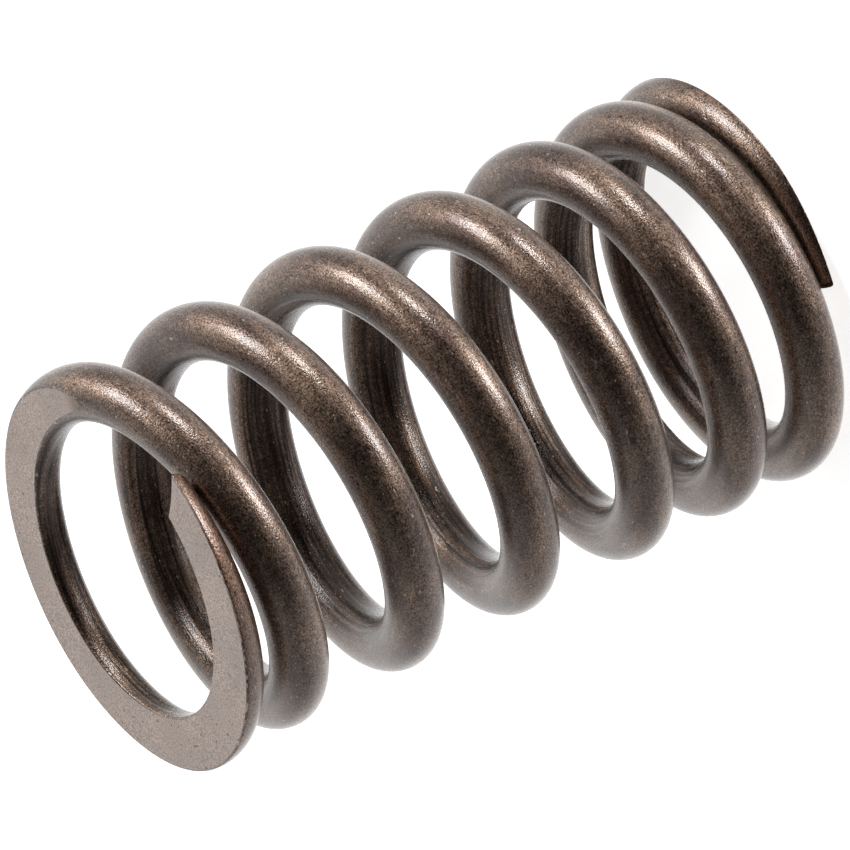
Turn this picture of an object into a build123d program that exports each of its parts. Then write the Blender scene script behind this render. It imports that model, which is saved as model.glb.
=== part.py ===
from build123d import *
from math import cos, pi, sin
import os

# Engine valve spring: one round wire wound to a right-hand coil, with closed ends ground flat
# It stands on its lower ground face, at the close coils, and +Z runs up its axis
# The origin is the middle of the lower face, and the lower cut tip lies towards +X

# Main sizes, in millimetres and turns
wire_diameter = 4.4
coil_outer_diameter = 31.5
free_length = 55.6
total_turns = 7.08

# How thick grinding leaves the wire at its two cut tips
lower_tip_thickness = 0.7
upper_tip_thickness = 1.65

# Running gap where a closed coil comes round to the cut tip
closed_coil_gap = 0.15

# Rise per turn of the close coils, of the wire where it leaves the upper closed coil, and of its tip
close_coil_pitch = 7.6
lift_off_pitch = 14.1
upper_tip_pitch = 6.6

# Turns that each stretch of the wire takes, from the lower tip up to the open coils
lower_closed_turns = 1.0
lower_lift_turns = 0.15
close_coil_turns = 1.05
opening_turns = 0.8

# Turns that each stretch takes, from the open coils up to the upper tip
steepening_turns = 0.32
lift_off_turns = 0.34
upper_closed_turns = 0.43
tip_bend_turns = 0.13
upper_tip_turns = 0.06

# Each closed coil springs outward a little towards its tip, over so many turns
lower_tip_flare = 0.14
lower_flare_turns = 0.9
upper_tip_flare = 0.4
upper_flare_turns = 1.9

# The wire is drawn in where it comes to lie flat in the upper closed coil
draw_in = 0.9
draw_in_from_tip = 0.69
draw_in_turns = 0.24

# The centre line is a chain of arcs, so many to a turn
arcs_per_turn = 12

wire_radius = wire_diameter / 2
coil_radius = coil_outer_diameter / 2 - wire_radius

# The wire's centre runs out past each ground face, so that only the thin tip is left
lower_overrun = wire_radius - lower_tip_thickness
upper_overrun = wire_radius - upper_tip_thickness
total_rise = free_length + lower_overrun + upper_overrun

# A closed coil rises by one wire and the gap in a full turn, so that it clears its own tip
lower_closed_pitch = wire_diameter + closed_coil_gap
lifting_turns = 1 - upper_closed_turns - tip_bend_turns - upper_tip_turns - lift_off_turns / 2
tip_turns = upper_tip_turns + tip_bend_turns / 2
upper_closed_pitch = (
    lower_closed_pitch - lift_off_pitch * lifting_turns - upper_tip_pitch * tip_turns
) / (1 - lifting_turns - tip_turns)

# The open coils take the turns and the rise that the other stretches leave
lower_turns = lower_closed_turns + lower_lift_turns + close_coil_turns + opening_turns
upper_turns = steepening_turns + lift_off_turns + upper_closed_turns + tip_bend_turns + upper_tip_turns
open_coil_turns = total_turns - lower_turns - upper_turns
lower_rise = (
    lower_closed_turns * lower_closed_pitch
    + lower_lift_turns * (lower_closed_pitch + close_coil_pitch) / 2
    + (close_coil_turns + opening_turns / 2) * close_coil_pitch
)
upper_rise = (
    (steepening_turns + lift_off_turns) / 2 * lift_off_pitch
    + (lift_off_turns / 2 + upper_closed_turns + tip_bend_turns / 2) * upper_closed_pitch
    + tip_turns * upper_tip_pitch
)
full_open_turns = opening_turns / 2 + open_coil_turns + steepening_turns / 2
open_coil_pitch = (total_rise - lower_rise - upper_rise) / full_open_turns

# Each stretch as its turns and its pitch at both ends, from the lower tip to the upper one
stretches = [
    (lower_closed_turns, lower_closed_pitch, lower_closed_pitch),
    (lower_lift_turns, lower_closed_pitch, close_coil_pitch),
    (close_coil_turns, close_coil_pitch, close_coil_pitch),
    (opening_turns, close_coil_pitch, open_coil_pitch),
    (open_coil_turns, open_coil_pitch, open_coil_pitch),
    (steepening_turns, open_coil_pitch, lift_off_pitch),
    (lift_off_turns, lift_off_pitch, upper_closed_pitch),
    (upper_closed_turns, upper_closed_pitch, upper_closed_pitch),
    (tip_bend_turns, upper_closed_pitch, upper_tip_pitch),
    (upper_tip_turns, upper_tip_pitch, upper_tip_pitch),
]


def height_at(turn):
    """Height of the wire's centre above the lower ground face."""
    height = -lower_overrun
    for turns, first_pitch, last_pitch in stretches:
        run = min(turn, turns)
        pitch_there = first_pitch + (last_pitch - first_pitch) * run / turns
        height += run * (first_pitch + pitch_there) / 2
        turn -= run
    return height


def fading(turns, reach):
    """Share that falls smoothly from 1 here to 0 at the reach, either way along the wire."""
    return (1 + cos(pi * min(abs(turns), reach) / reach)) / 2


def radius_at(turn):
    """Radius of the wire's centre line, counted in turns from the lower tip."""
    from_upper_tip = total_turns - turn
    return (
        coil_radius
        + lower_tip_flare * fading(turn, lower_flare_turns)
        + upper_tip_flare * fading(from_upper_tip, upper_flare_turns)
        - draw_in * fading(from_upper_tip - draw_in_from_tip, draw_in_turns)
    )


def centre_point(turn):
    """Point on the wire's centre line, counted in turns from the lower tip."""
    radius = radius_at(turn)
    angle = 2 * pi * turn
    return (radius * cos(angle), radius * sin(angle), height_at(turn))


arcs = round(total_turns * arcs_per_turn)

with BuildPart() as valve_spring:
    # Each arc sets off the way the one before it ends, so the wire has no kink
    with BuildLine() as centre_line:
        start = centre_point(0)
        direction = (0, 2 * pi * radius_at(0), lower_closed_pitch)
        for arc_end in range(1, arcs + 1):
            end = centre_point(total_turns * arc_end / arcs)
            arc = TangentArc(start, end, tangent=direction)
            start = arc @ 1
            direction = arc % 1
    wire = centre_line.wire()
    with BuildSketch(Plane(wire @ 0, x_dir=(1, 0, 0), z_dir=wire % 0)):
        Circle(wire_radius)
    sweep(path=wire)
    # Grinding keeps what lies between the two end faces
    with BuildSketch(Plane.XY):
        Circle(coil_outer_diameter)
    extrude(amount=free_length, mode=Mode.INTERSECT)

valve_spring.part.label = "valve_spring"

os.makedirs("parts", exist_ok=True)
export_step(valve_spring.part, "parts/valve_spring.step")
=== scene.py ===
from math import acos, atan2, cos, degrees, pi, radians, sin, sqrt, tan

import bpy
from mathutils import Matrix, Vector


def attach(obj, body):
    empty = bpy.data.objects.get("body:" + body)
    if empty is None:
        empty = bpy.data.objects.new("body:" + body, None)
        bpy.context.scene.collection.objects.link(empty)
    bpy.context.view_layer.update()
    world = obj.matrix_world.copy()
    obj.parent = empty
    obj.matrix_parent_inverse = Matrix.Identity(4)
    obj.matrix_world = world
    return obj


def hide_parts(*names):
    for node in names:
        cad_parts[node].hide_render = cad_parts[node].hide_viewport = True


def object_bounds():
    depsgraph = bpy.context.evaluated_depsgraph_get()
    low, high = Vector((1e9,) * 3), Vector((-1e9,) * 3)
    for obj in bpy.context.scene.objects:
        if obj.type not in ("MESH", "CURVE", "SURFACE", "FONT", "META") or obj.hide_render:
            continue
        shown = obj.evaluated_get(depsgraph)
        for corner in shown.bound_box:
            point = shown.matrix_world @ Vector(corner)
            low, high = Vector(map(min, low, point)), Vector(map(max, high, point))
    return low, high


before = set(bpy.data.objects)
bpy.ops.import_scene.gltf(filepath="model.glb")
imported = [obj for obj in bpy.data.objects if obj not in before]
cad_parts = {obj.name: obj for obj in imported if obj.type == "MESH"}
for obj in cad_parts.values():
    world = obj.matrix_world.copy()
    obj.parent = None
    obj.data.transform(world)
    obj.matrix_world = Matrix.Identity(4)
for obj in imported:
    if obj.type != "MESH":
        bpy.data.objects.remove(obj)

bl_info = {
    "name": "Engine Valve Spring",
    "version": (1, 0, 0),
    "blender": (4, 5, 0),
    "location": "3D View > Sidebar > Valve Spring",
    "description": "Winds and finishes a progressive engine valve spring, and sets its light and camera",
    "category": "Object",
}

MM = 0.001
CAD_NODE = "valve_spring"
CAD_LOW, CAD_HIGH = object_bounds()

# How thick grinding leaves the wire at its two cut tips
LOWER_TIP_THICKNESS = 0.7 * MM
UPPER_TIP_THICKNESS = 1.65 * MM
# Running gap where a closed coil comes round to the cut tip
CLOSED_GAP = 0.15 * MM
# Rise per turn of the close coils, of the wire where it leaves the upper closed coil, and of its tip
CLOSE_COIL_PITCH = 7.6 * MM
LIFT_OFF_PITCH = 14.1 * MM
UPPER_TIP_PITCH = 6.6 * MM
# Turns of each stretch of the wire, from the lower tip up to the open coils
LOWER_CLOSED_TURNS = 1.0
LOWER_LIFT_TURNS = 0.15
CLOSE_COIL_TURNS = 1.05
OPENING_TURNS = 0.8
# Turns of each stretch, from the open coils up to the upper tip
STEEPENING_TURNS = 0.32
LIFT_OFF_TURNS = 0.34
UPPER_CLOSED_TURNS = 0.43
TIP_BEND_TURNS = 0.13
UPPER_TIP_TURNS = 0.06
# Each closed coil springs outward a little towards its tip, over so many turns
LOWER_TIP_FLARE = 0.14 * MM
LOWER_FLARE_TURNS = 0.9
UPPER_TIP_FLARE = 0.4 * MM
UPPER_FLARE_TURNS = 1.9
# The wire is drawn in where it comes to lie flat in the upper closed coil
DRAW_IN = 0.9 * MM
DRAW_IN_FROM_TIP = 0.69
DRAW_IN_TURNS = 0.24
# The coils are wound this much slimmer than the CAD, so that none of them stands out of its box
INSIDE_CAD = 0.02 * MM
# The cutter bends the thin lower tip inward a little, over its last tenth of a turn
LOWER_TIP_CURL = 0.65 * MM
LOWER_CURL_TURNS = 0.12
# The cutter leaves the upper tip at a skew, its outer side further along, over so much of the wire
UPPER_TIP_SKEW = 0.42
SKEW_RUN = 8 * MM

# Rings of the wire's mesh on each turn, and how many times finer they are where a ground face begins
RINGS_PER_TURN = 110
FINE_RINGS = 4
FINE_TURNS = 0.05
# Steps along the wire in looking for those places, and the short step that gives its direction, in turns
ONSET_STEPS = 4000
SHORT_STEP = 1e-4
# Points of one ring: across each ground face between its edges, round each edge, and on each side
FLAT_POINTS = 6
EDGE_POINTS = 5
SIDE_POINTS = 17
# The grinding wheel's burr is tumbled off, which leaves a narrow rounded edge
EDGE_WIDTH = 0.14 * MM
EDGE_SUPPORT = 0.04 * MM
# The edge and its support take no more than these shares of a narrow face's half width
EDGE_SHARE = 0.3
SUPPORT_SHARE = 0.2
# Half the angle that the bottom or top group of points takes on wire that isn't ground
FREE_HALF_ANGLE = radians(50)
FREE_SHARE = 0.35
ONSET_HALF_ANGLE = radians(4)
ONSET_RUN = 1.6 * MM
# Steps of the rounding of the wire's two cut ends, and its size at the lower and at the upper one
END_STEPS = 3
LOWER_END_ROUNDING = 0.4 * MM
UPPER_END_ROUNDING = 0.1 * MM
# Grinding warms the wire near the thin upper tip, over this much of a turn
HEAT_TURNS = 0.3
# A ground face starts as a light touch of the wheel on the film, and is clean steel after this run
TOUCH_RUN = 2.5 * MM

# Places of the sockets of a colour Mix node
MIX_FACTOR, MIX_FIRST, MIX_SECOND, MIX_RESULT = 0, 6, 7, 2


def linear(hex_colour):
    """Turns an sRGB hex colour into linear RGBA."""
    channels = [int(hex_colour[place:place + 2], 16) / 255 for place in (0, 2, 4)]
    curved = [c / 12.92 if c <= 0.04045 else ((c + 0.055) / 1.055) ** 2.4 for c in channels]
    return (*curved, 1.0)


def add_node(tree, kind, inputs=None, **settings):
    """Adds a node, sets its settings, and fills its inputs with values or links."""
    node = tree.nodes.new(kind)
    for name, value in settings.items():
        setattr(node, name, value)
    for socket, value in (inputs or {}).items():
        if isinstance(value, bpy.types.NodeSocket):
            tree.links.new(value, node.inputs[socket])
        else:
            node.inputs[socket].default_value = value
    return node


# Sizes and colours that a user would change

class ValveSpringSizes(bpy.types.PropertyGroup):
    wire_diameter: bpy.props.FloatProperty(
        name="Wire diameter", description="Thickness of the round wire",
        default=4.4 * MM, min=1 * MM, max=8 * MM, unit="LENGTH", precision=5)
    coil_diameter: bpy.props.FloatProperty(
        name="Outside diameter", description="Outside diameter of the coils",
        default=31.5 * MM, min=15 * MM, max=60 * MM, unit="LENGTH", precision=5)
    free_length: bpy.props.FloatProperty(
        name="Free length", description="Length between the two ground faces with no load",
        default=CAD_HIGH.z - CAD_LOW.z, min=30 * MM, max=90 * MM, unit="LENGTH", precision=5)
    total_turns: bpy.props.FloatProperty(
        name="Turns", description="Turns of wire from tip to tip",
        default=7.08, min=5, max=12)


class ValveSpringFinish(bpy.types.PropertyGroup):
    film_colour: bpy.props.FloatVectorProperty(
        name="Film colour", description="Colour of the baked film on the wire",
        default=linear("8C7666"), size=4, min=0, max=1, subtype="COLOR")
    bare_colour: bpy.props.FloatVectorProperty(
        name="Ground face colour", description="Colour of the tinted steel of the ground faces",
        default=linear("D6C8BF"), size=4, min=0, max=1, subtype="COLOR")


class ValveSpringStage(bpy.types.PropertyGroup):
    floor_colour: bpy.props.FloatVectorProperty(
        name="Floor colour", description="Colour of the paper floor",
        default=linear("F2F2F2"), size=4, min=0, max=1, subtype="COLOR")
    azimuth: bpy.props.FloatProperty(
        name="Camera azimuth", description="Side that the camera stands on, turned from +X",
        default=radians(15.5782), subtype="ANGLE", unit="ROTATION")
    elevation: bpy.props.FloatProperty(
        name="Camera elevation", description="How far the camera is above the horizon",
        default=radians(25.2156), subtype="ANGLE", unit="ROTATION")
    roll: bpy.props.FloatProperty(
        name="Camera roll", description="Turn of the camera about its own line of sight",
        default=radians(-115.799), subtype="ANGLE", unit="ROTATION")
    distance: bpy.props.FloatProperty(
        name="Camera distance", description="Distance from the camera to the middle of the spring",
        default=1.67268, min=0.5, max=5, unit="LENGTH")


# The wire's centre line, as it is coiled

def pitch_stretches(sizes):
    """Each stretch of the wire as its turns and its pitch at both ends, from the lower tip up."""
    rise = sizes.free_length + sizes.wire_diameter - LOWER_TIP_THICKNESS - UPPER_TIP_THICKNESS
    # A closed coil rises by one wire and the gap in a full turn, so that it clears its own tip
    closed_pitch = sizes.wire_diameter + CLOSED_GAP
    lifting_turns = 1 - UPPER_CLOSED_TURNS - TIP_BEND_TURNS - UPPER_TIP_TURNS - LIFT_OFF_TURNS / 2
    tip_turns = UPPER_TIP_TURNS + TIP_BEND_TURNS / 2
    upper_pitch = (
        closed_pitch - LIFT_OFF_PITCH * lifting_turns - UPPER_TIP_PITCH * tip_turns
    ) / (1 - lifting_turns - tip_turns)
    open_turns = sizes.total_turns - (
        LOWER_CLOSED_TURNS + LOWER_LIFT_TURNS + CLOSE_COIL_TURNS + OPENING_TURNS
        + STEEPENING_TURNS + LIFT_OFF_TURNS + UPPER_CLOSED_TURNS + TIP_BEND_TURNS + UPPER_TIP_TURNS)
    lower_rise = (
        LOWER_CLOSED_TURNS * closed_pitch
        + LOWER_LIFT_TURNS * (closed_pitch + CLOSE_COIL_PITCH) / 2
        + (CLOSE_COIL_TURNS + OPENING_TURNS / 2) * CLOSE_COIL_PITCH)
    upper_rise = (
        (STEEPENING_TURNS + LIFT_OFF_TURNS) / 2 * LIFT_OFF_PITCH
        + (LIFT_OFF_TURNS / 2 + UPPER_CLOSED_TURNS + TIP_BEND_TURNS / 2) * upper_pitch
        + tip_turns * UPPER_TIP_PITCH)
    full_turns = OPENING_TURNS / 2 + open_turns + STEEPENING_TURNS / 2
    open_pitch = (rise - lower_rise - upper_rise) / full_turns
    return [
        (LOWER_CLOSED_TURNS, closed_pitch, closed_pitch),
        (LOWER_LIFT_TURNS, closed_pitch, CLOSE_COIL_PITCH),
        (CLOSE_COIL_TURNS, CLOSE_COIL_PITCH, CLOSE_COIL_PITCH),
        (OPENING_TURNS, CLOSE_COIL_PITCH, open_pitch),
        (open_turns, open_pitch, open_pitch),
        (STEEPENING_TURNS, open_pitch, LIFT_OFF_PITCH),
        (LIFT_OFF_TURNS, LIFT_OFF_PITCH, upper_pitch),
        (UPPER_CLOSED_TURNS, upper_pitch, upper_pitch),
        (TIP_BEND_TURNS, upper_pitch, UPPER_TIP_PITCH),
        (UPPER_TIP_TURNS, UPPER_TIP_PITCH, UPPER_TIP_PITCH),
    ]


def fading(distance, reach):
    """Share that falls smoothly from 1 here to 0 at the reach, either way along the wire."""
    return (1 + cos(pi * min(abs(distance), reach) / reach)) / 2


def centre_line(sizes):
    """Returns a function that gives the wire's centre at a number of turns from the lower tip."""
    stretches = pitch_stretches(sizes)
    wire_radius = sizes.wire_diameter / 2
    coil_radius = sizes.coil_diameter / 2 - wire_radius - INSIDE_CAD

    def centre(turn):
        height = CAD_LOW.z + LOWER_TIP_THICKNESS - wire_radius
        left = turn
        for turns, first, last in stretches:
            run = min(left, turns)
            height += run * (first + first + (last - first) * run / turns) / 2
            left -= run
        from_upper_tip = sizes.total_turns - turn
        radius = (
            coil_radius
            + LOWER_TIP_FLARE * fading(turn, LOWER_FLARE_TURNS)
            + UPPER_TIP_FLARE * fading(from_upper_tip, UPPER_FLARE_TURNS)
            - DRAW_IN * fading(from_upper_tip - DRAW_IN_FROM_TIP, DRAW_IN_TURNS)
            - LOWER_TIP_CURL * fading(turn, LOWER_CURL_TURNS))
        return Vector((radius * cos(2 * pi * turn), radius * sin(2 * pi * turn), height))

    return centre


# One ring of the mesh, which is the wire's section between the two ground faces

def section_half_angle(centre_gap, wire_radius):
    """Half the angle that a ground face cuts off the wire's round section, 0 where it doesn't."""
    share = max(-1.0, min(1.0, centre_gap / wire_radius))
    return acos(share)


def group_points(half_angle, free_half, wire_radius):
    """Points across one ground face and round its two edges, looking straight at the face.

    Each is (sideways, outward, edge share). They lie on the round wire where nothing is ground off.
    """
    count = FLAT_POINTS + 2 * EDGE_POINTS
    if half_angle == 0:
        angles = [free_half * (2 * step / (count - 1) - 1) for step in range(count)]
        return [(wire_radius * sin(a), wire_radius * cos(a), 0.0) for a in angles]
    half_width = wire_radius * sin(half_angle)
    depth = wire_radius * cos(half_angle)
    edge = min(EDGE_WIDTH, EDGE_SHARE * half_width)
    edge_angle = edge / wire_radius
    on_side = (wire_radius * sin(half_angle + edge_angle), wire_radius * cos(half_angle + edge_angle))
    on_face = (half_width - edge, depth)
    corner = (half_width, depth)
    right = []
    for step in range(EDGE_POINTS):
        t = step / (EDGE_POINTS - 1)
        weights = ((1 - t) ** 2, 2 * t * (1 - t), t ** 2)
        right.append((
            weights[0] * on_face[0] + weights[1] * corner[0] + weights[2] * on_side[0],
            weights[0] * on_face[1] + weights[1] * corner[1] + weights[2] * on_side[1],
            4 * t * (1 - t)))
    inner = max(0.0, on_face[0] - min(EDGE_SUPPORT, SUPPORT_SHARE * half_width))
    face = [(inner * (2 * step / (FLAT_POINTS - 1) - 1), depth, 0.0) for step in range(FLAT_POINTS)]
    left = [(-side, out, share) for side, out, share in reversed(right)]
    return left + face + right


def side_angles(start, stop):
    """Angles of the points on the round side of the wire between two groups."""
    return [start + (stop - start) * (step + 1) / (SIDE_POINTS + 1) for step in range(SIDE_POINTS)]


def wire_ring(centre, turn, sizes, free_halves):
    """One ring: its points, their places on the straight wire, edge shares, direction and cuts."""
    wire_radius = sizes.wire_diameter / 2
    middle = centre(turn)
    along = (centre(turn + SHORT_STEP) - centre(turn - SHORT_STEP)).normalized()
    outward = Vector((middle.x, middle.y, 0)).normalized()
    outward = (outward - along * outward.dot(along)).normalized()
    upward = along.cross(outward)
    if upward.z < 0:
        upward = -upward
    lean = atan2(outward.z, upward.z)
    reach = wire_radius * sqrt(outward.z ** 2 + upward.z ** 2)
    # Section axes turned so that one of them points straight away from the ground face
    side_axis = outward * cos(lean) - upward * sin(lean)
    rise_axis = outward * sin(lean) + upward * cos(lean)
    lower_cut = section_half_angle(middle.z - CAD_LOW.z, reach)
    upper_cut = section_half_angle(CAD_LOW.z + sizes.free_length - middle.z, reach)
    lower_free = min(free_halves[0], FREE_SHARE * (pi - upper_cut))
    upper_free = min(free_halves[1], FREE_SHARE * (pi - lower_cut))
    bottom = group_points(lower_cut, lower_free, wire_radius)
    top = group_points(upper_cut, upper_free, wire_radius)
    offsets = [(side, -out, share) for side, out, share in bottom]
    start = atan2(offsets[-1][1], offsets[-1][0])
    stop = atan2(top[-1][1], top[-1][0])
    offsets += [(wire_radius * cos(a), wire_radius * sin(a), 0.0) for a in side_angles(start, stop)]
    offsets += [(side, out, share) for side, out, share in reversed(top)]
    start = atan2(top[0][1], top[0][0]) % (2 * pi)
    stop = atan2(-bottom[0][1], bottom[0][0]) % (2 * pi)
    offsets += [(wire_radius * cos(a), wire_radius * sin(a), 0.0) for a in side_angles(start, stop)]
    points = [middle + side_axis * side + rise_axis * rise for side, rise, share in offsets]
    # Near the upper tip each point turns round the coil by how far out it lies, which skews the cut
    from_tip = (sizes.total_turns - turn) * pi * (sizes.coil_diameter - sizes.wire_diameter)
    skew = UPPER_TIP_SKEW * fading(from_tip, SKEW_RUN) / Vector((middle.x, middle.y)).length
    points = [
        Matrix.Rotation(skew * side, 3, "Z") @ point
        for point, (side, rise, share) in zip(points, offsets)]
    section = [
        (side * cos(lean) + rise * sin(lean), rise * cos(lean) - side * sin(lean))
        for side, rise, share in offsets]
    return points, section, [share for side, rise, share in offsets], along, (lower_cut, upper_cut)


def ground_onsets(centre, sizes):
    """The two places, in turns, where the lower ground face ends and the upper one begins."""
    wire_radius = sizes.wire_diameter / 2
    places = [sizes.total_turns * step / ONSET_STEPS for step in range(ONSET_STEPS + 1)]
    low = [t for t in places if centre(t).z - CAD_LOW.z < wire_radius]
    top = CAD_LOW.z + sizes.free_length
    high = [t for t in places if top - centre(t).z < wire_radius]
    return max(low), min(high)


def ring_places(sizes, onsets):
    """Places of the mesh's rings in turns, even along the wire and closer where a ground face begins."""
    first = LOWER_END_ROUNDING / (pi * sizes.coil_diameter)
    last = sizes.total_turns - UPPER_END_ROUNDING / (pi * sizes.coil_diameter)
    count = round(sizes.total_turns * RINGS_PER_TURN)
    places = [first + (last - first) * step / count for step in range(count + 1)]
    for onset in onsets:
        places = [turn for turn in places if abs(turn - onset) > FINE_TURNS]
        steps = round(2 * FINE_TURNS * RINGS_PER_TURN * FINE_RINGS)
        places += [onset - FINE_TURNS + 2 * FINE_TURNS * step / steps for step in range(steps + 1)]
    return sorted(places)


def free_half_angle(run):
    """Half the angle of a group of points on round wire, at a distance from where grinding begins."""
    share = max(0.0, min(1.0, run / ONSET_RUN))
    share = share * share * (3 - 2 * share)
    return ONSET_HALF_ANGLE + (FREE_HALF_ANGLE - ONSET_HALF_ANGLE) * share


def rounded_end(ring, way, rounding):
    """Rings that round off a cut end, one way along the wire, drawn in towards its middle."""
    points, section, edges, length, cuts, along, heat, touch = ring
    middle = sum(points, Vector()) / len(points)
    ends = []
    for step in range(1, END_STEPS + 1):
        angle = pi / 2 * step / END_STEPS
        inset = rounding * (1 - cos(angle))
        reach = way * rounding * sin(angle)
        moved = [p + (middle - p).normalized() * inset + along * reach for p in points]
        ends.append((moved, section, edges, length + reach, cuts, along, heat, touch))
    return ends


def wire_mesh(name, sizes):
    """Mesh of the whole wire, with its ground faces as material 1 and its cut ends as material 2."""
    centre = centre_line(sizes)
    onsets = ground_onsets(centre, sizes)
    coil_length = pi * (sizes.coil_diameter - sizes.wire_diameter)
    rings, travelled, last_middle = [], 0.0, None
    for turn in ring_places(sizes, onsets):
        free_halves = (
            free_half_angle((turn - onsets[0]) * coil_length),
            free_half_angle((onsets[1] - turn) * coil_length))
        points, section, edges, along, cuts = wire_ring(centre, turn, sizes, free_halves)
        middle = centre(turn)
        travelled += (middle - last_middle).length if last_middle else 0.0
        last_middle = middle
        heat = fading(sizes.total_turns - turn, HEAT_TURNS)
        touch = fading(max(0.0, onsets[0] - turn, turn - onsets[1]) * coil_length, TOUCH_RUN)
        rings.append((points, section, edges, travelled, cuts, along, heat, touch))
    rings = (
        rounded_end(rings[0], -1, LOWER_END_ROUNDING)[::-1] + rings
        + rounded_end(rings[-1], 1, UPPER_END_ROUNDING))
    around = len(rings[0][0])
    group = FLAT_POINTS + 2 * EDGE_POINTS
    lower_face = range(EDGE_POINTS - 1, EDGE_POINTS + FLAT_POINTS)
    first_top = group + SIDE_POINTS
    upper_face = range(first_top + EDGE_POINTS - 1, first_top + EDGE_POINTS + FLAT_POINTS)
    vertices = [point for ring in rings for point in ring[0]]
    faces, finishes = [], []
    for row in range(len(rings) - 1):
        lower_ground = rings[row][4][0] > 0 and rings[row + 1][4][0] > 0
        upper_ground = rings[row][4][1] > 0 and rings[row + 1][4][1] > 0
        cut_end = row < END_STEPS or row >= len(rings) - 1 - END_STEPS
        for place in range(around):
            beside = (place + 1) % around
            faces.append((
                row * around + place, (row + 1) * around + place,
                (row + 1) * around + beside, row * around + beside))
            on_face = (lower_ground and place in lower_face) or (upper_ground and place in upper_face)
            finishes.append(2 if cut_end else 1 if on_face else 0)
    faces.append(tuple(range(around)))
    faces.append(tuple(reversed(range((len(rings) - 1) * around, len(rings) * around))))
    finishes += [2, 2]
    mesh = bpy.data.meshes.new(name)
    mesh.from_pydata(vertices, [], faces)
    mesh.polygons.foreach_set("material_index", finishes)
    mesh.shade_smooth()
    straight = mesh.attributes.new("straight_wire", "FLOAT_VECTOR", "POINT")
    straight.data.foreach_set("vector", [
        value for ring in rings for out, up in ring[1] for value in (out, up, ring[3])])
    worn = mesh.attributes.new("worn_edge", "FLOAT", "POINT")
    worn.data.foreach_set("value", [share for ring in rings for share in ring[2]])
    heat_tint = mesh.attributes.new("grinding_heat", "FLOAT", "POINT")
    heat_tint.data.foreach_set("value", [ring[6] for ring in rings for share in ring[2]])
    light_touch = mesh.attributes.new("light_touch", "FLOAT", "POINT")
    light_touch.data.foreach_set("value", [ring[7] for ring in rings for share in ring[2]])
    mesh.validate()
    return mesh


# Finishes

# The peened wire: patches of its film, clusters of dimples and single dimples
PATCH_WIDTH, PATCH_LENGTH = 2 * MM, 6 * MM
CLUSTER_WIDTH = 0.5 * MM
DIMPLE_WIDTH = 0.13 * MM
DIMPLE_DEPTH = 0.03 * MM
# How deep the dimples still show in the clear gloss over the film
GLOSS_DEPTH = 0.027 * MM
# Draw marks of the die, and how far out from the wire's middle the inner side begins and is full; the
# marks' dark streaks also paint shade on the inner side, which faces the other coils
MARK_SPACING, MARK_LENGTH = 0.25 * MM, 15 * MM
MARK_DEPTH = 0.04 * MM
INNER_BEGINS, INNER_FULL = 0.4 * MM, -1.6 * MM
# Scuffs and nicks from knocks
SCUFF_WIDTH, SCUFF_LENGTH = 0.5 * MM, 1.1 * MM
NICK_WIDTH, NICK_LENGTH = 0.25 * MM, 0.5 * MM
NICK_DEPTH = 0.02 * MM
DARK_FILM = linear("635149")
HEATED_FILM = linear("6C4C3B")
SCUFF_COLOUR = linear("1E1916")
NICK_STEEL = linear("D2C4B8")

# The ground faces: marks of the wheel's grit, drift of the tint, and pits
GRIT_WIDTH = 0.13 * MM
GRIT_DEPTH = 0.01 * MM
TINT_DRIFT = 5 * MM
PIT_WIDTH = 0.35 * MM
GREYER_STEEL = linear("B7ADA8")
PIT_COLOUR = linear("463C37")
# How strongly a light touch of the wheel keeps film on the steel, against the grit's own height
TOUCH_HEIGHT = 1.2

# The sheared ends: ridges that the cutter tears
TEAR_SPACING, TEAR_LENGTH = 0.2 * MM, 0.6 * MM
TEAR_DEPTH = 0.05 * MM
TORN_DARK, TORN_LIGHT = linear("2E2621"), linear("5F4E43")


def new_material(name):
    """An empty node material and its output node."""
    material = bpy.data.materials.new(name)
    material.use_nodes = True
    material.node_tree.nodes.clear()
    output = add_node(material.node_tree, "ShaderNodeOutputMaterial")
    return material, material.node_tree, output


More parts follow.
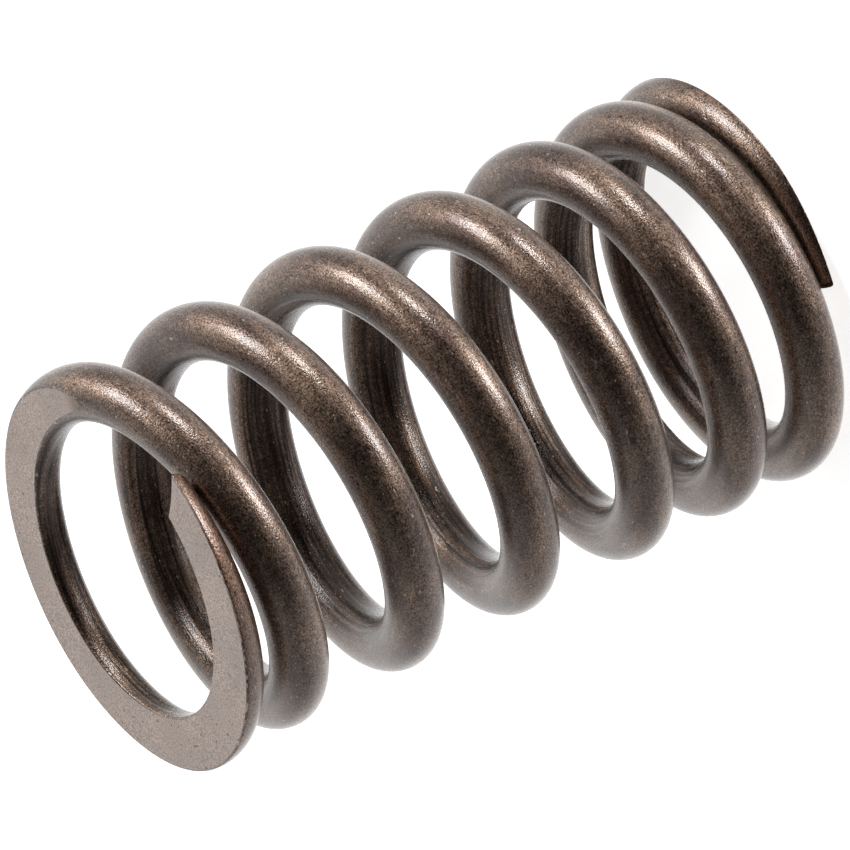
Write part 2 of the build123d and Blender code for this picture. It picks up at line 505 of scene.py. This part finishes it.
def peened_spring_steel(finish):
    """Drawn chrome-silicon wire, oil tempered and shot peened, under the dark film of stress relief.

    The eye sees a dark bronze metal that is grainy all over, with a thin clear gloss on top of it.
    """
    material, tree, output = new_material("peened_spring_steel")
    wire = add_node(tree, "ShaderNodeAttribute", attribute_name="straight_wire").outputs["Vector"]

    # The film runs from umber to a lighter bronze in patches about 2 mm wide and 6 mm long
    patch_place = add_node(tree, "ShaderNodeVectorMath", operation="MULTIPLY", inputs={
        0: wire, 1: (1 / PATCH_WIDTH, 1 / PATCH_WIDTH, 1 / PATCH_LENGTH)})
    patches = add_node(tree, "ShaderNodeTexNoise", inputs={
        "Vector": patch_place.outputs[0], "Scale": 1.0, "Detail": 3.0, "Roughness": 0.6})
    patch_share = add_node(tree, "ShaderNodeMapRange", inputs={
        "Value": patches.outputs["Fac"], "From Min": 0.36, "From Max": 0.66})
    film = add_node(tree, "ShaderNodeMix", data_type="RGBA", inputs={
        MIX_FACTOR: patch_share.outputs[0], MIX_FIRST: DARK_FILM,
        MIX_SECOND: tuple(finish.film_colour)})

    # The heat of grinding tints the wire a redder brown near its upper tip
    heat = add_node(tree, "ShaderNodeAttribute", attribute_name="grinding_heat")
    heat_share = add_node(tree, "ShaderNodeMath", operation="MULTIPLY", inputs={
        0: heat.outputs["Fac"], 1: 0.8})
    tinted = add_node(tree, "ShaderNodeMix", data_type="RGBA", inputs={
        MIX_FACTOR: heat_share.outputs[0], MIX_FIRST: film.outputs[MIX_RESULT],
        MIX_SECOND: HEATED_FILM})

    # Peening with 0.3 mm shot leaves dimples about 0.13 mm wide, dark in the middle and rubbed at the rim
    dimple_place = add_node(tree, "ShaderNodeVectorMath", operation="SCALE", inputs={
        0: wire, "Scale": 1 / DIMPLE_WIDTH})
    dimples = add_node(tree, "ShaderNodeTexNoise", inputs={
        "Vector": dimple_place.outputs[0], "Scale": 1.0, "Detail": 1.0, "Roughness": 0.5})
    rubbed = add_node(tree, "ShaderNodeMapRange", inputs={
        "Value": dimples.outputs["Fac"], "From Min": 0.3, "From Max": 0.7,
        "To Min": 0.2, "To Max": 1.9})
    grained = add_node(tree, "ShaderNodeMix", data_type="RGBA", blend_type="MULTIPLY", inputs={
        MIX_FACTOR: 1.0, MIX_FIRST: tinted.outputs[MIX_RESULT], MIX_SECOND: rubbed.outputs[0]})

    # Clusters of dimples, about 0.5 mm across, take the film a little darker or lighter
    cluster_place = add_node(tree, "ShaderNodeVectorMath", operation="SCALE", inputs={
        0: wire, "Scale": 1 / CLUSTER_WIDTH})
    clusters = add_node(tree, "ShaderNodeTexNoise", inputs={
        "Vector": cluster_place.outputs[0], "Scale": 1.0, "Detail": 2.0, "Roughness": 0.55})
    cluster_tone = add_node(tree, "ShaderNodeMapRange", inputs={
        "Value": clusters.outputs["Fac"], "From Min": 0.3, "From Max": 0.7,
        "To Min": 0.76, "To Max": 1.26})
    mottled = add_node(tree, "ShaderNodeMix", data_type="RGBA", blend_type="MULTIPLY", inputs={
        MIX_FACTOR: 1.0, MIX_FIRST: grained.outputs[MIX_RESULT],
        MIX_SECOND: cluster_tone.outputs[0]})

    # Share of the inner side of the coils, which faces the other coils and is painted darker there as
    # shade
    sides = add_node(tree, "ShaderNodeSeparateXYZ", inputs={0: wire})
    inner_share = add_node(tree, "ShaderNodeMapRange", interpolation_type="SMOOTHSTEP", inputs={
        "Value": sides.outputs["X"], "From Min": INNER_BEGINS, "From Max": INNER_FULL})

    # Draw marks of the die run along the wire, about 0.25 mm apart and 15 mm long, and show mostly on the
    # inner side; their tone is darker than the film on average, so there they are partly painted shade
    mark_place = add_node(tree, "ShaderNodeVectorMath", operation="MULTIPLY", inputs={
        0: wire, 1: (1 / MARK_SPACING, 1 / MARK_SPACING, 1 / MARK_LENGTH)})
    draw_marks = add_node(tree, "ShaderNodeTexNoise", inputs={
        "Vector": mark_place.outputs[0], "Scale": 1.0, "Detail": 2.0, "Roughness": 0.6})
    mark_and_shade_tone = add_node(tree, "ShaderNodeMapRange", inputs={
        "Value": draw_marks.outputs["Fac"], "From Min": 0.36, "From Max": 0.64,
        "To Min": 0.06, "To Max": 1.28})
    mark_and_shade_share = add_node(tree, "ShaderNodeMapRange", inputs={
        "Value": inner_share.outputs[0], "To Min": 0.15, "To Max": 0.9})
    # Painted shade: this darkens the inner side of the coils by about a quarter, with the draw marks as
    # its streaks
    marked_and_shaded = add_node(tree, "ShaderNodeMix", data_type="RGBA", blend_type="MULTIPLY", inputs={
        MIX_FACTOR: mark_and_shade_share.outputs[0], MIX_FIRST: mottled.outputs[MIX_RESULT],
        MIX_SECOND: mark_and_shade_tone.outputs[0]})

    # Knocks in the bin with other springs leave dark scuffs about 0.5 mm wide
    scuff_place = add_node(tree, "ShaderNodeVectorMath", operation="MULTIPLY", inputs={
        0: wire, 1: (1 / SCUFF_WIDTH, 1 / SCUFF_WIDTH, 1 / SCUFF_LENGTH)})
    scuffs = add_node(tree, "ShaderNodeTexNoise", inputs={
        "Vector": scuff_place.outputs[0], "Scale": 1.0, "Detail": 3.0, "Roughness": 0.7})
    scuff_share = add_node(tree, "ShaderNodeMapRange", inputs={
        "Value": scuffs.outputs["Fac"], "From Min": 0.63, "From Max": 0.7, "To Max": 0.85})
    scuffed = add_node(tree, "ShaderNodeMix", data_type="RGBA", inputs={
        MIX_FACTOR: scuff_share.outputs[0], MIX_FIRST: marked_and_shaded.outputs[MIX_RESULT],
        MIX_SECOND: SCUFF_COLOUR})

    # Sharper knocks, about 0.25 mm wide, and the worn edges near the upper tip show bright steel
    nick_place = add_node(tree, "ShaderNodeVectorMath", operation="MULTIPLY", inputs={
        0: wire, 1: (1 / NICK_WIDTH, 1 / NICK_WIDTH, 1 / NICK_LENGTH)})
    nicks = add_node(tree, "ShaderNodeTexNoise", inputs={
        "Vector": nick_place.outputs[0], "Scale": 1.0, "Detail": 2.0, "Roughness": 0.6})
    worn = add_node(tree, "ShaderNodeAttribute", attribute_name="worn_edge")
    worn_share = add_node(tree, "ShaderNodeMapRange", inputs={
        "Value": heat.outputs["Fac"], "To Min": 0.08, "To Max": 0.36})
    nick_height = add_node(tree, "ShaderNodeMath", operation="MULTIPLY_ADD", inputs={
        0: worn.outputs["Fac"], 1: worn_share.outputs[0], 2: nicks.outputs["Fac"]})
    nick_share = add_node(tree, "ShaderNodeMapRange", inputs={
        "Value": nick_height.outputs[0], "From Min": 0.68, "From Max": 0.75})
    nicked = add_node(tree, "ShaderNodeMix", data_type="RGBA", inputs={
        MIX_FACTOR: nick_share.outputs[0], MIX_FIRST: scuffed.outputs[MIX_RESULT],
        MIX_SECOND: NICK_STEEL})

    # Draw marks and dimples under the film, and the dimples a little shallower in its gloss
    mark_bump = add_node(tree, "ShaderNodeBump", inputs={
        "Height": draw_marks.outputs["Fac"], "Strength": mark_and_shade_share.outputs[0],
        "Distance": MARK_DEPTH})
    dimple_bump = add_node(tree, "ShaderNodeBump", inputs={
        "Height": dimples.outputs["Fac"], "Strength": 0.8, "Distance": DIMPLE_DEPTH,
        "Normal": mark_bump.outputs[0]})
    nick_bump = add_node(tree, "ShaderNodeBump", inputs={
        "Height": nick_share.outputs[0], "Strength": 0.6, "Distance": NICK_DEPTH,
        "Normal": dimple_bump.outputs[0]}, invert=True)
    gloss_bump = add_node(tree, "ShaderNodeBump", inputs={
        "Height": dimples.outputs["Fac"], "Strength": 0.9, "Distance": GLOSS_DEPTH,
        "Normal": mark_bump.outputs[0]})
    roughness = add_node(tree, "ShaderNodeMapRange", inputs={
        "Value": clusters.outputs["Fac"], "From Min": 0.3, "From Max": 0.7,
        "To Min": 0.45, "To Max": 0.53})
    shader = add_node(tree, "ShaderNodeBsdfPrincipled", inputs={
        "Base Color": nicked.outputs[MIX_RESULT], "Metallic": 1.0, "Roughness": roughness.outputs[0],
        "Normal": nick_bump.outputs[0],
        "Coat Weight": 1.0, "Coat Roughness": 0.18, "Coat Normal": gloss_bump.outputs[0]})
    tree.links.new(shader.outputs[0], output.inputs["Surface"])
    return material


def ground_steel(finish):
    """Surface-ground spring steel with a faint tint from stress relief.

    The eye sees a flat, nearly matt face, pale pinkish beige, with a fine speckle and a few dark pits.
    """
    material, tree, output = new_material("tinted_ground_steel")
    wire = add_node(tree, "ShaderNodeAttribute", attribute_name="straight_wire").outputs["Vector"]

    # The wheel's 0.1 mm grit leaves a speckle, drawn at 0.13 mm so that it shows
    grit_place = add_node(tree, "ShaderNodeVectorMath", operation="SCALE", inputs={
        0: wire, "Scale": 1 / GRIT_WIDTH})
    grit = add_node(tree, "ShaderNodeTexNoise", inputs={
        "Vector": grit_place.outputs[0], "Scale": 1.0, "Detail": 1.0, "Roughness": 0.5})
    speckle = add_node(tree, "ShaderNodeMapRange", inputs={
        "Value": grit.outputs["Fac"], "From Min": 0.3, "From Max": 0.7, "To Min": 0.68, "To Max": 1.28})
    speckled = add_node(tree, "ShaderNodeMix", data_type="RGBA", blend_type="MULTIPLY", inputs={
        MIX_FACTOR: 1.0, MIX_FIRST: tuple(finish.bare_colour), MIX_SECOND: speckle.outputs[0]})

    # The tint drifts from greyer to pinker over about 5 mm
    drift_place = add_node(tree, "ShaderNodeVectorMath", operation="SCALE", inputs={
        0: wire, "Scale": 1 / TINT_DRIFT})
    drift = add_node(tree, "ShaderNodeTexNoise", inputs={
        "Vector": drift_place.outputs[0], "Scale": 1.0, "Detail": 2.0, "Roughness": 0.5})
    drift_share = add_node(tree, "ShaderNodeMapRange", inputs={
        "Value": drift.outputs["Fac"], "From Min": 0.35, "From Max": 0.65, "To Max": 0.35})
    tinted = add_node(tree, "ShaderNodeMix", data_type="RGBA", inputs={
        MIX_FACTOR: drift_share.outputs[0], MIX_FIRST: speckled.outputs[MIX_RESULT],
        MIX_SECOND: GREYER_STEEL})

    # A few dark pits are left where the wheel didn't clean up the wire's skin
    pit_place = add_node(tree, "ShaderNodeVectorMath", operation="SCALE", inputs={
        0: wire, "Scale": 1 / PIT_WIDTH})
    pits = add_node(tree, "ShaderNodeTexNoise", inputs={
        "Vector": pit_place.outputs[0], "Scale": 1.0, "Detail": 2.0, "Roughness": 0.6})
    pit_share = add_node(tree, "ShaderNodeMapRange", inputs={
        "Value": pits.outputs["Fac"], "From Min": 0.67, "From Max": 0.72, "To Max": 0.8})
    pitted = add_node(tree, "ShaderNodeMix", data_type="RGBA", inputs={
        MIX_FACTOR: pit_share.outputs[0], MIX_FIRST: tinted.outputs[MIX_RESULT],
        MIX_SECOND: PIT_COLOUR})

    # Where the wheel only touches the wire, film is left in the low spots of the grit's marks
    touch = add_node(tree, "ShaderNodeAttribute", attribute_name="light_touch")
    touch_height = add_node(tree, "ShaderNodeMath", operation="MULTIPLY_ADD", inputs={
        0: touch.outputs["Fac"], 1: TOUCH_HEIGHT, 2: grit.outputs["Fac"]})
    touch_share = add_node(tree, "ShaderNodeMapRange", inputs={
        "Value": touch_height.outputs[0], "From Min": 0.7, "From Max": 1.6, "To Max": 0.6})
    touched = add_node(tree, "ShaderNodeMix", data_type="RGBA", inputs={
        MIX_FACTOR: touch_share.outputs[0], MIX_FIRST: pitted.outputs[MIX_RESULT],
        MIX_SECOND: tuple(finish.film_colour)})

    bump = add_node(tree, "ShaderNodeBump", inputs={
        "Height": grit.outputs["Fac"], "Strength": 0.5, "Distance": GRIT_DEPTH})
    shader = add_node(tree, "ShaderNodeBsdfPrincipled", inputs={
        "Base Color": touched.outputs[MIX_RESULT], "Metallic": 1.0, "Roughness": 0.7,
        "Normal": bump.outputs[0]})
    tree.links.new(shader.outputs[0], output.inputs["Surface"])
    return material


def sheared_end():
    """The end of the wire where the cutter sheared it.

    The eye sees torn, dull steel, browned by stress relief as the wire is.
    """
    material, tree, output = new_material("sheared_wire_end")
    wire = add_node(tree, "ShaderNodeAttribute", attribute_name="straight_wire").outputs["Vector"]

    # The shear tears the steel in ridges about 0.2 mm apart
    tear_place = add_node(tree, "ShaderNodeVectorMath", operation="MULTIPLY", inputs={
        0: wire, 1: (1 / TEAR_SPACING, 1 / TEAR_LENGTH, 1 / TEAR_LENGTH)})
    tears = add_node(tree, "ShaderNodeTexNoise", inputs={
        "Vector": tear_place.outputs[0], "Scale": 1.0, "Detail": 4.0, "Roughness": 0.6})
    tear_share = add_node(tree, "ShaderNodeMapRange", inputs={
        "Value": tears.outputs["Fac"], "From Min": 0.3, "From Max": 0.7})
    colour = add_node(tree, "ShaderNodeMix", data_type="RGBA", inputs={
        MIX_FACTOR: tear_share.outputs[0], MIX_FIRST: TORN_DARK, MIX_SECOND: TORN_LIGHT})
    bump = add_node(tree, "ShaderNodeBump", inputs={
        "Height": tears.outputs["Fac"], "Strength": 0.8, "Distance": TEAR_DEPTH})
    shader = add_node(tree, "ShaderNodeBsdfPrincipled", inputs={
        "Base Color": colour.outputs[MIX_RESULT], "Metallic": 1.0, "Roughness": 0.55,
        "Normal": bump.outputs[0]})
    tree.links.new(shader.outputs[0], output.inputs["Surface"])
    return material


class VALVE_SPRING_OT_wind_wire(bpy.types.Operator):
    """Wind the wire with its ground faces and give it its finishes"""
    bl_idname = "valve_spring.wind_wire"
    bl_label = "Wind the Wire"
    bl_options = {"REGISTER", "UNDO"}

    def execute(self, context):
        scene = context.scene
        mesh = wire_mesh("spring_wire", scene.valve_spring_sizes)
        finish = scene.valve_spring_finish
        for material in (peened_spring_steel(finish), ground_steel(finish), sheared_end()):
            mesh.materials.append(material)
        wire = bpy.data.objects.new("spring_wire", mesh)
        scene.collection.objects.link(wire)
        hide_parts(CAD_NODE)
        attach(wire, "root")
        return {"FINISHED"}


# Stage

# The softboxes stand this far from the spring
SOFTBOX_DISTANCE = 0.5
# Each softbox: azimuth, elevation, half its width and half its height in degrees, and its brightness
SOFTBOXES = {
    "side_softbox": (107, 38, 11, 11, 15.5),
    "back_softbox": (73, -10, 7.4, 6.4, 29.0),
    "low_softbox": (26, -50, 10.3, 10.3, 17.5),
}
# The light tent: how bright its sides are, and how much brighter its back and bottom, past these edges
SIDE_BRIGHTNESS, BACK_EXTRA, BOTTOM_EXTRA = 0.45, 0.5, 0.4
BACK_AZIMUTH, BACK_ELEVATION = 190, -2
BACK_EDGE, BACK_FADE = radians(22), radians(58)
BOTTOM_EDGE, BOTTOM_FADE = radians(-35), radians(-5)
# It is open and unlit towards the camera, and passes into the cloth between these edges
OPENING_AZIMUTH, OPENING_ELEVATION = 24, 14
OPENING_EDGE, CLOTH_EDGE = radians(34), radians(108)

# The paper floor is round, so far across from its middle, and this little below the spring
FLOOR_RADIUS = 3.0
FLOOR_SIDES = 96
FLOOR_GAP = 0.02 * MM
# How far the plain white background shines through the lit paper, where it is looked at
FLOOR_WHITE = 0.8

# The lens that frames the spring as the photograph does, and the point of the spring it is aimed at
CAMERA_LENS = 961.94
CAMERA_SENSOR = 36
CAMERA_AIM = Vector((-0.1684, -0.1461, 28.2279)) * MM
CAMERA_FAR_CLIP = 100


def direction(azimuth, elevation):
    """Unit vector towards an azimuth and elevation in degrees."""
    a, e = radians(azimuth), radians(elevation)
    return Vector((cos(e) * cos(a), cos(e) * sin(a), sin(e)))


def add_softbox(scene, name, middle, azimuth, elevation, half_width, half_height, brightness):
    """A soft area lamp that faces the spring and that the camera doesn't see."""
    lamp = bpy.data.lights.new(name, "AREA")
    lamp.shape = "ELLIPSE"
    lamp.size = 2 * SOFTBOX_DISTANCE * tan(radians(half_width))
    lamp.size_y = 2 * SOFTBOX_DISTANCE * tan(radians(half_height))
    # A surface of brightness 1 gives off pi watts per square metre
    ellipse_area = lamp.size * lamp.size_y * pi / 4
    lamp.energy = brightness * pi * ellipse_area
    box = bpy.data.objects.new(name, lamp)
    towards = direction(azimuth, elevation)
    box.location = middle + towards * SOFTBOX_DISTANCE
    box.rotation_euler = towards.to_track_quat("Z", "Y").to_euler()
    box.visible_camera = False
    scene.collection.objects.link(box)


def light_tent(scene):
    """A white tent all round, open and dark towards the camera, which the camera sees as white."""
    world = bpy.data.worlds.new("light_tent")
    world.use_nodes = True
    tree = world.node_tree
    tree.nodes.clear()
    output = add_node(tree, "ShaderNodeOutputWorld")
    place = add_node(tree, "ShaderNodeTexCoord")
    at_back = add_node(tree, "ShaderNodeVectorMath", operation="DOT_PRODUCT", inputs={
        0: place.outputs["Generated"], 1: direction(BACK_AZIMUTH, BACK_ELEVATION)})
    back_light = add_node(tree, "ShaderNodeMapRange", interpolation_type="SMOOTHSTEP", inputs={
        "Value": at_back.outputs["Value"], "From Min": cos(BACK_FADE), "From Max": cos(BACK_EDGE),
        "To Min": SIDE_BRIGHTNESS, "To Max": SIDE_BRIGHTNESS + BACK_EXTRA})
    height = add_node(tree, "ShaderNodeSeparateXYZ", inputs={0: place.outputs["Generated"]})
    bottom_light = add_node(tree, "ShaderNodeMapRange", interpolation_type="SMOOTHSTEP", inputs={
        "Value": height.outputs["Z"], "From Min": sin(BOTTOM_FADE), "From Max": sin(BOTTOM_EDGE),
        "To Min": 0.0, "To Max": BOTTOM_EXTRA})
    cloth_light = add_node(tree, "ShaderNodeMath", operation="ADD", inputs={
        0: back_light.outputs[0], 1: bottom_light.outputs[0]})
    at_opening = add_node(tree, "ShaderNodeVectorMath", operation="DOT_PRODUCT", inputs={
        0: place.outputs["Generated"], 1: direction(OPENING_AZIMUTH, OPENING_ELEVATION)})
    closed = add_node(tree, "ShaderNodeMapRange", interpolation_type="SMOOTHSTEP", inputs={
        "Value": at_opening.outputs["Value"], "From Min": cos(OPENING_EDGE), "From Max": cos(CLOTH_EDGE)})
    tent_light = add_node(tree, "ShaderNodeMath", operation="MULTIPLY", inputs={
        0: cloth_light.outputs[0], 1: closed.outputs[0]})
    tent = add_node(tree, "ShaderNodeBackground", inputs={
        "Color": linear("FFFFFF"), "Strength": tent_light.outputs[0]})
    white = add_node(tree, "ShaderNodeBackground", inputs={"Color": linear("FFFFFF"), "Strength": 1.0})
    path = add_node(tree, "ShaderNodeLightPath")
    shown = add_node(tree, "ShaderNodeMixShader", inputs={
        0: path.outputs["Is Camera Ray"], 1: tent.outputs[0], 2: white.outputs[0]})
    tree.links.new(shown.outputs[0], output.inputs["Surface"])
    scene.world = world


def paper_floor(colour):
    """White studio paper, matt, with the plain white background behind it, so that its shadows are soft.

    It is open from below, so that the spring can be seen from there.
    """
    material, tree, output = new_material("white_studio_paper")
    paper = add_node(tree, "ShaderNodeBsdfDiffuse", inputs={"Color": colour})
    path = add_node(tree, "ShaderNodeLightPath")
    mirrored = add_node(tree, "ShaderNodeMath", operation="MAXIMUM", inputs={
        0: path.outputs["Is Glossy Ray"], 1: path.outputs["Is Transmission Ray"]})
    seen = add_node(tree, "ShaderNodeMath", operation="MAXIMUM", inputs={
        0: path.outputs["Is Camera Ray"], 1: mirrored.outputs[0]})
    white_share = add_node(tree, "ShaderNodeMath", operation="MULTIPLY", inputs={
        0: seen.outputs[0], 1: FLOOR_WHITE})
    white = add_node(tree, "ShaderNodeEmission", inputs={
        "Color": linear("FFFFFF"), "Strength": white_share.outputs[0]})
    lit = add_node(tree, "ShaderNodeAddShader", inputs={0: paper.outputs[0], 1: white.outputs[0]})
    side = add_node(tree, "ShaderNodeNewGeometry")
    clear = add_node(tree, "ShaderNodeBsdfTransparent")
    shown = add_node(tree, "ShaderNodeMixShader", inputs={
        0: side.outputs["Backfacing"], 1: lit.outputs[0], 2: clear.outputs[0]})
    tree.links.new(shown.outputs[0], output.inputs["Surface"])
    return material


class VALVE_SPRING_OT_set_stage(bpy.types.Operator):
    """Lay the paper floor, set the lights and place the camera"""
    bl_idname = "valve_spring.set_stage"
    bl_label = "Set the Stage"
    bl_options = {"REGISTER", "UNDO"}

    def execute(self, context):
        scene = context.scene
        stage = scene.valve_spring_stage
        middle = Vector((0, 0, (CAD_LOW.z + CAD_HIGH.z) / 2))
        corners = [2 * pi * step / FLOOR_SIDES for step in range(FLOOR_SIDES)]
        rim = [(FLOOR_RADIUS * cos(angle), FLOOR_RADIUS * sin(angle), 0) for angle in corners]
        mesh = bpy.data.meshes.new("paper_floor")
        mesh.from_pydata(rim, [], [tuple(range(FLOOR_SIDES))])
        mesh.materials.append(paper_floor(tuple(stage.floor_colour)))
        floor = bpy.data.objects.new("paper_floor", mesh)
        floor.location.z = CAD_LOW.z - FLOOR_GAP
        # The metal shows the tent's white cloth and the low softbox, which shine up through the paper
        floor.visible_glossy = False
        floor.visible_shadow = False
        scene.collection.objects.link(floor)
        for name, softbox in SOFTBOXES.items():
            add_softbox(scene, name, middle, *softbox)
        light_tent(scene)
        camera_data = bpy.data.cameras.new("photo_camera")
        camera_data.lens = CAMERA_LENS
        camera_data.sensor_width = CAMERA_SENSOR
        camera_data.clip_end = CAMERA_FAR_CLIP
        camera = bpy.data.objects.new("photo_camera", camera_data)
        back = direction(degrees(stage.azimuth), degrees(stage.elevation))
        camera.location = CAMERA_AIM + back * stage.distance
        upright = back.to_track_quat("Z", "Y").to_matrix()
        camera.rotation_euler = (Matrix.Rotation(stage.roll, 3, back) @ upright).to_euler()
        scene.collection.objects.link(camera)
        scene.camera = camera
        scene.view_settings.view_transform = "Standard"
        return {"FINISHED"}


class VALVE_SPRING_PT_panel(bpy.types.Panel):
    bl_idname = "VALVE_SPRING_PT_panel"
    bl_label = "Valve Spring"
    bl_space_type = "VIEW_3D"
    bl_region_type = "UI"
    bl_category = "Valve Spring"

    def draw(self, context):
        scene = context.scene
        for group in (scene.valve_spring_sizes, scene.valve_spring_finish, scene.valve_spring_stage):
            for name in group.bl_rna.properties.keys():
                if name not in ("rna_type", "name"):
                    self.layout.prop(group, name)
        self.layout.operator(VALVE_SPRING_OT_wind_wire.bl_idname)
        self.layout.operator(VALVE_SPRING_OT_set_stage.bl_idname)


CLASSES = (
    ValveSpringSizes,
    ValveSpringFinish,
    ValveSpringStage,
    VALVE_SPRING_OT_wind_wire,
    VALVE_SPRING_OT_set_stage,
    VALVE_SPRING_PT_panel,
)


def register():
    for cls in CLASSES:
        bpy.utils.register_class(cls)
    bpy.types.Scene.valve_spring_sizes = bpy.props.PointerProperty(type=ValveSpringSizes)
    bpy.types.Scene.valve_spring_finish = bpy.props.PointerProperty(type=ValveSpringFinish)
    bpy.types.Scene.valve_spring_stage = bpy.props.PointerProperty(type=ValveSpringStage)


def unregister():
    del bpy.types.Scene.valve_spring_stage
    del bpy.types.Scene.valve_spring_finish
    del bpy.types.Scene.valve_spring_sizes
    for cls in reversed(CLASSES):
        bpy.utils.unregister_class(cls)


def main():
    """Makes the whole scene."""
    register()
    bpy.ops.valve_spring.wind_wire()
    bpy.ops.valve_spring.set_stage()


if __name__ == "__main__":
    main()
